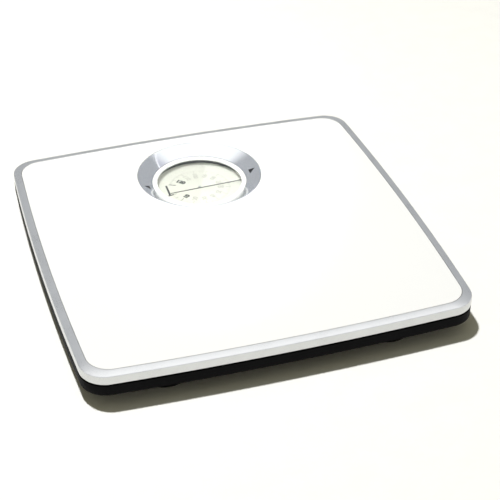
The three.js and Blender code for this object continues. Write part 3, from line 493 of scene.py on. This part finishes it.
# ---------- springs and zero adjustment ----------
# The nose plate hangs from two extension springs of bright drawn wire. They hang from a steel bridge that
# the thumbwheel under the tray lifts or lowers to set the dial to zero.
dress(zinc, 0.15, "nose_plate", "spring_anchor")


def smooth_path(points, steps=5):
    """A smooth curve through the points: a cubic on each span, with slopes from its neighbours and spans
    measured by the square root of their length."""
    p = np.array(points, float)
    span = np.sqrt(np.linalg.norm(np.diff(p, axis=0), axis=1))
    slope = np.diff(p, axis=0) / span[:, None]
    m = np.empty_like(p)
    m[0], m[-1] = slope[0], slope[-1]
    a, b = span[:-1, None], span[1:, None]
    m[1:-1] = (slope[:-1] * b + slope[1:] * a) / (a + b)
    t = np.linspace(0, 1, steps, endpoint=False)[None, :, None]
    h = span[:, None, None]
    curve = (
        (2 * t ** 3 - 3 * t ** 2 + 1) * p[:-1, None] + (t ** 3 - 2 * t ** 2 + t) * h * m[:-1, None]
        + (3 * t ** 2 - 2 * t ** 3) * p[1:, None] + (t ** 3 - t ** 2) * h * m[1:, None])
    return np.vstack([curve.reshape(-1, 3), p[-1:]])


def tube(path, radius, sides=12):
    """A round wire along a path. Its section is carried along without twisting."""
    along = np.gradient(path, axis=0)
    along /= np.linalg.norm(along, axis=1, keepdims=True)
    side = np.cross(along[0], (0.3, 0.5, 0.8))
    normals = []
    for direction in along:
        side = side - direction * (side @ direction)
        side = side / np.linalg.norm(side)
        normals.append(side)
    normals = np.array(normals)
    other = np.cross(along, normals)
    angle = np.linspace(0, 2 * math.pi, sides, endpoint=False)[None, :, None]
    section = np.cos(angle) * normals[:, None] + np.sin(angle) * other[:, None]
    return loft(path[:, None] + radius * section, closed=False)


def coil(centre, radius, turns, per_turn, start, lift, ease=0):
    """Points of a helix: angle grows evenly from start and height by lift in all. With ease, the radius
    grows from the axis over that many steps at both ends."""
    steps = np.arange(round(turns * per_turn) + 1)
    angle = start + 2 * math.pi * steps / per_turn
    size = np.full(len(steps), radius)
    if ease:
        size = radius * np.minimum(1, np.minimum((steps + 2) / ease, (steps[-1] - steps + 2) / ease))
    return np.stack([
        centre[0] + size * np.cos(angle), centre[1] + size * np.sin(angle),
        centre[2] + lift * steps / steps[-1]], 1)


NOSE_Y, SPRING_X, HOLD_TOP = 28, 20, 23.3
for name, s in (("left", -1), ("right", 1)):
    x = s * SPRING_X
    hook_low, hook_top, low, top = 11.25, 23.0, 14.9, 19.25
    path = np.vstack([
        [(x + s * 2.6, NOSE_Y, hook_low), (x + s * 1.3, NOSE_Y, hook_low),
         (x + s * 0.4, NOSE_Y, hook_low + 0.35), (x, NOSE_Y, hook_low + 1.2), (x, NOSE_Y, low - 1.0)],
        coil((x, NOSE_Y, low), radius=3.2, turns=3.5, per_turn=10, start=0, lift=top - low, ease=5),
        [(x, NOSE_Y, top + 1.0), (x, NOSE_Y, hook_top - 1.2), (x + s * 0.4, NOSE_Y, hook_top - 0.35),
         (x + s * 1.3, NOSE_Y, hook_top), (x + s * 2.6, NOSE_Y, hook_top)]])
    spring = piece("weighing_spring_" + name, [tube(smooth_path(path), 0.55)], drawn, None,
                   "spring_steel", "main_spring_" + name)
    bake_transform(spring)

    x, low, top = s * HOLD_X, HOLD_LOW, HOLD_TOP
    path = np.vstack([
        [(x, -2.2, low + 0.2), (x, 0, low), (x, 2.0, low + 0.6), (x, 1.6, low + 2.2)],
        coil((x, 0, low + 3.6), radius=2.2, turns=7, per_turn=8, start=math.pi / 2, lift=top - low - 7.2),
        [(x, 1.6, top - 2.2), (x, 2.0, top - 0.6), (x, 0, top), (x, -2.2, top - 0.2)]])
    spring = piece("retaining_spring_" + name, [tube(smooth_path(path), 0.4)], drawn, None,
                   "spring_steel", "hold_down_spring_" + name)
    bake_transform(spring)

# The thumbwheel is a black moulding with scallops round its grip, a straight rib across it and a steel
# stud.
SCALLOPS, WHEEL_STEPS = 14, 560
angle = np.linspace(0, 2 * math.pi, WHEEL_STEPS, endpoint=False)
scallop = np.clip(np.cos(SCALLOPS * angle), 0, 1) ** 2
wheel = []
for radius, z, cut in (
        (4, 2.4, 0), (6.6, 2.4, 0), (7.0, 1.9, 0), (7.2, 1.6, 0), (8.8, 1.6, 1), (9.0, 1.8, 1),
        (9.0, 4.0, 1), (9.0, 4.3, 0), (9.0, 5.2, 0), (11.7, 5.3, 0), (12, 5.5, 0), (12, 6.1, 0),
        (11.8, 6.3, 0), (2.4, 6.3, 0), (2.0, 6.7, 0), (2.0, 23.0, 0), (1.8, 23.05, 0)):
    size = radius - 0.7 * cut * scallop
    wheel.append(np.column_stack([
        size * np.cos(angle), KNOB_Y + size * np.sin(angle), np.full(WHEEL_STEPS, float(z))]))
rib = block(-6.6, 6.6, KNOB_Y - 1, KNOB_Y + 1, 1.8, 3.0)
piece("thumbwheel", [loft(wheel, closed=False), rib], moulding, "zero_knob", "black_moulding", "zero_knob")

# ---------- gear train ----------
# A stamped plate screwed to the belly carries the crank, the brass sector and the brass bush of the dial's
# spindle. A light spring takes up the play in the teeth.
dress(zinc, 0.12, "mechanism_frame", "bell_crank", "frame_screw_1", "frame_screw_2", "frame_screw_3")
dress(brass, 0.08, "spindle_bush", "sector_gear", "pinion", "dial_hub")
dress(drawn, 0.1, "sector_post", "crank_pin", "dial_spindle")
dress(drawn, 0, "pull_link")

TAIL_X, TAIL_Y, TAIL_Z, HOOK_X = 9, 46.25, 10.3, 18.6
steps = np.arange(41)
wind = math.pi / 2 + 2 * math.pi * steps / 8
path = np.vstack([
    [(TAIL_X, TAIL_Y, TAIL_Z - 1.2), (TAIL_X, TAIL_Y, TAIL_Z + 1.0), (TAIL_X + 0.5, TAIL_Y, TAIL_Z + 1.6),
     (TAIL_X + 2.0, TAIL_Y, TAIL_Z + 1.6)],
    np.column_stack([
        TAIL_X + 2.6 + 6 * steps / 40, TAIL_Y + 1.1 * np.cos(wind), TAIL_Z + 0.6 + 1.1 * np.sin(wind)]),
    [(HOOK_X - 0.3, TAIL_Y, TAIL_Z + 1.4), (HOOK_X, TAIL_Y, TAIL_Z + 0.8), (HOOK_X, TAIL_Y, TAIL_Z - 0.6)]])
spring = piece("play_spring", [tube(smooth_path(path), 0.2, 8)], drawn, None, "spring_steel", "return_spring")
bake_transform(spring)

# ---------- dial ----------
# A cream card disc, printed with a stroke for each kilogram, longer ones at fives and tens, and a number at
# each ten. The print is pale grey, and bold black only next to the bar across the part of the circle that
# isn't used.
DIAL_Y, DISC_LOW, DISC_TOP, DISC_R, HUB_HOLE = 77.8, 14.25, 14.85, 36.0, 1.3
card = Look("dial_card")
fibres = card.noise(0.0005, 4)
card_cloud = card.noise(0.008, 3)
card_look = card.principled({
    "Base Color": card.blend(
        fibres * 0.5 + card_cloud * 0.5, (0.64, 0.65, 0.585, 1), (0.68, 0.685, 0.62, 1)),
    "Roughness": fibres * 0.15 + 0.55,
    "Normal": card.bump(fibres, 0.00001)})
disc_profile = rounded([
    (HUB_HOLE, DISC_LOW, 0.05), (HUB_HOLE, DISC_TOP, 0.05),
    (DISC_R, DISC_TOP, 0.15), (DISC_R, DISC_LOW, 0.15)])
piece("dial_card_disc", [lathe(disc_profile, 0, DIAL_Y)], card_look, "dial", "dial_card", "dial_disc")

FULL_TURN, CAPACITY, ZERO_AT = 324.0, 127, 191.5
PRINT_LOW, PRINT_TOP = DISC_TOP - 0.02, DISC_TOP + 0.03
black_ink = grainy("black_ink", (0.004, 0.004, 0.004), 0.7, grain=0.0002, depth=0.000004, tone=0.3)
grey_ink = grainy("grey_ink", (0.42, 0.42, 0.38), 0.55, grain=0.0002, depth=0.000004, tone=0.1)


def stroke(start, end, width):
    """A printed line from one (x, y) to another, as a thin slab."""
    a, b = np.array(start, float), np.array(end, float)
    side = np.array((a[1] - b[1], b[0] - a[0])) / np.linalg.norm(b - a) * width / 2
    plan = np.array([a - side, b - side, b + side, a + side]) + (0, DIAL_Y)
    return loft([ring(plan, PRINT_LOW), ring(plan, PRINT_TOP)], closed=False)


def at_angle(degrees, radius):
    """The point at an angle and a distance from the dial's middle: radius times its cosine and sine."""
    return radius * math.cos(math.radians(degrees)), radius * math.sin(math.radians(degrees))


STROKE_END = 24.2
strokes = {"black": [], "grey": []}
for kilogram in range(CAPACITY + 1):
    degrees = ZERO_AT + FULL_TURN * kilogram / CAPACITY
    if kilogram == CAPACITY:
        inner, width = 18.8, 0.8
    elif kilogram % 10 == 0:
        inner, width = 20.0, 0.4
    elif kilogram % 5 == 0:
        inner, width = 21.6, 0.28
    else:
        inner, width = 22.6, 0.18
    colour = "black" if kilogram in (0, 5, 10, CAPACITY) else "grey"
    strokes[colour].append(stroke(at_angle(degrees, inner), at_angle(degrees, STROKE_END), width))
strokes["black"] += [
    stroke(at_angle(ZERO_AT - 1, 25.4), at_angle(ZERO_AT - 32, 26.2), 1.5),
    stroke(at_angle(ZERO_AT, 22.6), at_angle(ZERO_AT, 27.2), 1.2)]
piece("dial_strokes_black", strokes["black"], black_ink, "dial", "dial_card", smooth=30)
piece("dial_strokes_grey", strokes["grey"], grey_ink, "dial", "dial_card", smooth=30)

BESIDE_BAR = (10, 120)
NUMBER_SIZE, NUMBER_R = 5.0, 16.6


def number(kilogram):
    """A number's thin slab, upright where it passes the pointer's tip. Its points are turned by the
    number's angle less half a turn, moved out to its radius and laid on the card."""
    letters = bpy.data.curves.new("number", "FONT")
    letters.body = str(kilogram)
    letters.size = NUMBER_SIZE
    letters.offset = 0.36 if kilogram in BESIDE_BAR else 0.1
    letters.extrude = 0.02
    letters.align_x, letters.align_y = "CENTER", "CENTER"
    holder = bpy.data.objects.new("number", letters)
    scene.collection.objects.link(holder)
    shape = bpy.data.meshes.new_from_object(holder.evaluated_get(bpy.context.evaluated_depsgraph_get()))
    co = np.empty(len(shape.vertices) * 3, np.float32)
    shape.vertices.foreach_get("co", co)
    co = co.reshape(-1, 3).astype(float)
    degrees = ZERO_AT + FULL_TURN * kilogram / CAPACITY
    turn = math.radians(degrees - 180)
    x, y = at_angle(degrees, NUMBER_R)
    points = np.stack([
        co[:, 0] * math.cos(turn) - co[:, 1] * math.sin(turn) + x,
        co[:, 0] * math.sin(turn) + co[:, 1] * math.cos(turn) + y + DIAL_Y,
        co[:, 2] + DISC_TOP + 0.012], 1)
    faces = [tuple(f.vertices) for f in shape.polygons]
    bpy.data.objects.remove(holder)
    return points, faces


def numbers_piece(name, kilograms, material):
    """Several numbers as one printed piece on the disc."""
    points, faces, count = [], [], 0
    for kilogram in kilograms:
        number_points, number_faces = number(kilogram)
        points.append(number_points)
        faces += [[v + count for v in f] for f in number_faces]
        count += len(number_points)
    mesh = bpy.data.meshes.new(name)
    mesh.from_pydata((np.concatenate(points) * MM).tolist(), [], faces)
    mesh.materials.append(material)
    made = bpy.data.objects.new(name, mesh)
    scene.collection.objects.link(made)
    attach(made, "dial")


numbers_piece("dial_numbers_black", BESIDE_BAR, black_ink)
numbers_piece("dial_numbers_grey", range(20, 120, 10), grey_ink)

# The pointer is a thin black moulding: a slim ridged blade across the dial, from a foot under the ring's
# right side.
pointer_black = grainy("pointer_black", (0.02, 0.02, 0.02), 0.5, grain=0.0003, depth=0.00001, tone=0.3)
POINTER_LOW, POINTER_TOP, FOOT_TOP = 16.45, 16.95, 17.14
tip, root = np.array((-24.6, -5.0)), np.array((37.3, -1.95))
along = root - tip
blade = []
shoulder = POINTER_TOP - 0.12
for share, half in ((0.0, 0.12), (0.01, 0.22), (0.5, 0.3), (0.9, 0.4), (0.94, 0.7), (0.97, 0.9), (1.0, 0.9)):
    x, y = tip + along * share + (0, DIAL_Y)
    blade.append([(x, y - half, POINTER_LOW), (x, y + half, POINTER_LOW), (x, y + half, shoulder),
                  (x, y, POINTER_TOP), (x, y - half, shoulder)])
foot_x, foot_y = root + (0, DIAL_Y)
pointer_foot = block(foot_x - 1.3, foot_x, foot_y - 1.5, foot_y + 1.5, POINTER_LOW, FOOT_TOP)
piece("pointer", [loft(blade, closed=False), pointer_foot], pointer_black, "platform", "pointer_black",
      "index_pointer", smooth=20)

# ---------- platform ----------
# The cover is pressed from sheet steel and painted satin silver. Its rim has an upright side and a wide
# shallow chamfer, and inside it is a recess for the mat.
silver = grainy(
    "silver_rim", (0.66, 0.67, 0.675), 0.3, metallic=0.86, grain=0.0003, depth=0.000012, tone=0.05)
TOP, SIDE_TOP, SIDE_LOW = 27.4, 26.3, 19.8
RECESS_TOP, RECESS_LOW = 26.0, 25.2
CHAMFER_W, RECESS_IN, SHEET = 5.4, 6.4, 0.8
COVER_HOLE, CORNER_SHARE = 46.3, 0.37
cover_profile = rounded([
    (0, SIDE_LOW, 0.2), (0, SIDE_TOP, 0.7), (CHAMFER_W, TOP, 0.15), (CHAMFER_W, RECESS_TOP, 0.2),
    (RECESS_IN, RECESS_TOP, 0), (RECESS_IN, RECESS_LOW, 0), (SHEET, RECESS_LOW, 0.4), (SHEET, SIDE_LOW, 0.2)])
rings = [ring(outline(a, CORNER - CORNER_SHARE * a), z) for a, z in cover_profile]
inner = outline(RECESS_IN, CORNER - CORNER_SHARE * RECESS_IN)
hole_at = int(np.argmax(cover_profile[:, 0])) + 1
rings[hole_at:hole_at] = [ring(circle_in(inner, 0, DIAL_Y, COVER_HOLE + grow), z) for grow, z in (
    (0.3, RECESS_TOP), (0, RECESS_TOP - 0.2), (0, RECESS_LOW + 0.2), (0.3, RECESS_LOW))]
piece("cover", [loft(rings), *spring_eyes(HOLD_TOP)], silver, "platform", "silver_rim", "platform_cover")

# The mat is a matt white sheet with a very fine leather-like grain and softly rounded edges, cemented in
# the recess.
mat = Look("white_mat")
pores = mat.node("TexVoronoi", {"Vector": mat.place(), "Scale": 1100.0}, {"feature": "SMOOTH_F1"})
mat_fine = mat.noise(0.0006, 4)
mat_cloud = mat.noise(0.05, 3)
mat_look = mat.principled({
    "Base Color": mat.blend(
        mat_cloud * 0.5 + mat_fine * 0.5, (0.755, 0.76, 0.765, 1), (0.785, 0.79, 0.79, 1)),
    "Roughness": mat_fine * 0.1 + 0.6,
    "Normal": mat.bump(pores * 0.6 + mat_fine * 0.4, 0.00003, 0.6),
    "Specular IOR Level": 0.3})
MAT_HOLE, MAT_LOW, MAT_EDGE, MAT_CORNER = 48.0, 26.3, 5.7, 16.2
mat_in = outline(7.0, 14.9)
rings = [ring(outline(a, MAT_CORNER + MAT_EDGE - a), z) for a, z in rounded(
    [(7.0, MAT_LOW, 0), (MAT_EDGE, MAT_LOW, 0.1), (MAT_EDGE, TOP, 0.35), (7.0, TOP, 0)])]
rings += [ring(circle_in(mat_in, 0, DIAL_Y, MAT_HOLE + grow), z) for grow, z in (
    (0.25, TOP), (0.07, TOP - 0.07), (0, TOP - 0.25), (0, MAT_LOW))]
piece("mat", [loft(rings)], mat_look, "platform", "white_mat", "platform_mat")


# The dial's surround is a plated funnel with two small black triangles printed on it, one at each side.
# Hooks and screw bosses under it hold the sheet, and the white lens ring is screwed up against it.
def round_at(degrees, radius):
    """The point at an angle and a distance from the dial's middle, in the platform's own place."""
    x, y = at_angle(degrees, radius)
    return x, y + DIAL_Y


plated = Look("chrome_bezel")
bezel_place = plated.place()
px, py = bezel_place.part(0), bezel_place.part(1) + (-DIAL_Y * MM)
polish = plated.noise(0.0004, 3)
plated_cloud = plated.noise(0.015, 3)
MARK_TIP, MARK_BASE, MARK_SLOPE, MARK_BLUR = 0.0443, 0.0397, 0.66, 0.0001
marks = []
for sign, mark_y in ((-1, -0.0022), (1, -0.0020)):
    outward = px * sign
    sideways = (py - mark_y).math("ABSOLUTE")
    taper = (MARK_TIP - outward) * MARK_SLOPE
    marks.append((taper - sideways).step(0, MARK_BLUR) * outward.step(MARK_BASE, MARK_BASE + MARK_BLUR))
marks = marks[0] + marks[1]
plated_look = plated.principled({
    "Base Color": plated.blend(marks, plated.blend(polish, (0.60, 0.62, 0.65, 1), (0.66, 0.68, 0.70, 1)),
                               (0.01, 0.01, 0.012, 1)),
    "Roughness": polish * 0.05 + plated_cloud * 0.03 + 0.05 + marks * 0.5,
    "Metallic": 0.85 - marks * 0.85,
    "Normal": plated.bump(polish, 0.000002)})
FUNNEL_R, FUNNEL_Z, BEZEL_R, FLANGE_LOW, FLANGE_IN = 36.4, 20.84, 47.7, 26.3, 45.5
funnel = lathe(rounded([
    (FUNNEL_R, FUNNEL_Z - 1, 0.1), (FUNNEL_R, FUNNEL_Z, 0.25), (BEZEL_R - 0.6, TOP, 0.3),
    (BEZEL_R, TOP - 0.4, 0.15), (BEZEL_R, FLANGE_LOW, 0.05), (FLANGE_IN, FLANGE_LOW, 0.05),
    (FUNNEL_R + 0.6, FUNNEL_Z - 1, 0.1)]), 0, DIAL_Y, 256)
hook = block(44.4, 46.0, DIAL_Y - 3, DIAL_Y + 3, 23.9, 25.0)
hooks = [turned_by(hook, math.radians(d), 0, DIAL_Y) for d in (45, 135, 225, 315)]
BEZEL_SCREWS, SCREW_R = (90, 210, 330), 41.6
bosses = [tower(*round_at(d, SCREW_R), 2.4, FUNNEL_Z - 1, FUNNEL_Z + 1.4) for d in BEZEL_SCREWS]
piece("bezel", [funnel, *hooks, *bosses], plated_look, "platform", "chrome_bezel", "dial_bezel")
dress(zinc, 0.12, "bezel_screw_1", "bezel_screw_2", "bezel_screw_3")

# The lens ring is a white moulding. It fits up inside the funnel's foot and has three ears for the screws.
ring_white = grainy("white_ring", (0.77, 0.78, 0.77), 0.35, grain=0.0006, depth=0.000005, tone=0.02)
WINDOW_R, RING_TOP, RING_STEP, RING_SEAT, RING_LOW = 32.7, 20.66, 19.54, 19.26, 17.44
EAR_LOW, EAR_R = 18.04, 2.8
ring_shell = lathe(rounded([
    (WINDOW_R, RING_SEAT, 0.1), (WINDOW_R, RING_TOP, 0.35), (36.1, RING_TOP, 0.1), (36.1, RING_STEP, 0.05),
    (37.7, RING_STEP, 0.1), (37.7, RING_LOW, 0.1), (35.7, RING_LOW, 0.1), (35.7, RING_SEAT, 0.05)]),
    0, DIAL_Y, 256)
ears = [tower(*round_at(d, SCREW_R), EAR_R, EAR_LOW, RING_STEP) for d in BEZEL_SCREWS]
arm = block(36.9, SCREW_R, DIAL_Y - EAR_R, DIAL_Y + EAR_R, EAR_LOW, RING_STEP)
arms = [turned_by(arm, math.radians(d), 0, DIAL_Y) for d in BEZEL_SCREWS]
piece("lens_ring", [ring_shell, *ears, *arms], ring_white, "platform", "white_ring", "lens_frame")

# The lens is a clear acrylic moulding: a thin flange under the white ring and a low dome in its opening. It
# mirrors more towards the edge of sight: 0.7 of the cube of Facing, plus 0.015.
clear = Look("clear_lens")
smear = clear.noise(0.006, 4)
gloss = clear.node("BsdfPrincipled", {
    "Base Color": (0.93, 0.95, 0.95, 1), "Metallic": 1.0, "Roughness": smear * 0.05 + 0.03,
    "Normal": clear.bump(smear, 0.000002)})
facing = clear.node("LayerWeight", {"Blend": 0.5}, out="Facing")
seen = facing * facing * facing * 0.7 + 0.015
through = clear.node("BsdfTransparent", {"Color": (0.985, 0.988, 0.984, 1)})
glass = clear.node("MixShader", {0: seen, 1: through, 2: gloss})
clear.node("OutputMaterial", {"Surface": glass})
LENS_FLAT, NECK, EDGE, DOME_Z, DOME_RISE = 18.96, 32.4, 35.4, 20.06, 1.5
dome = [(r, DOME_Z + DOME_RISE * (1 - (r / NECK) ** 2)) for r in np.linspace(NECK, 1.0, 24)]
under = [(1.0, LENS_FLAT - 0.1), (20, LENS_FLAT - 0.4), (NECK - 1, LENS_FLAT - 1.1),
         (EDGE - 0.1, LENS_FLAT - 1.1), (EDGE, LENS_FLAT - 1.0), (EDGE, LENS_FLAT - 0.1),
         (EDGE - 0.1, LENS_FLAT), (NECK, LENS_FLAT)]
piece("lens", [lathe(under + dome, 0, DIAL_Y, 192, closed=False)],
      clear.material, "platform", "clear_lens", "dial_lens")
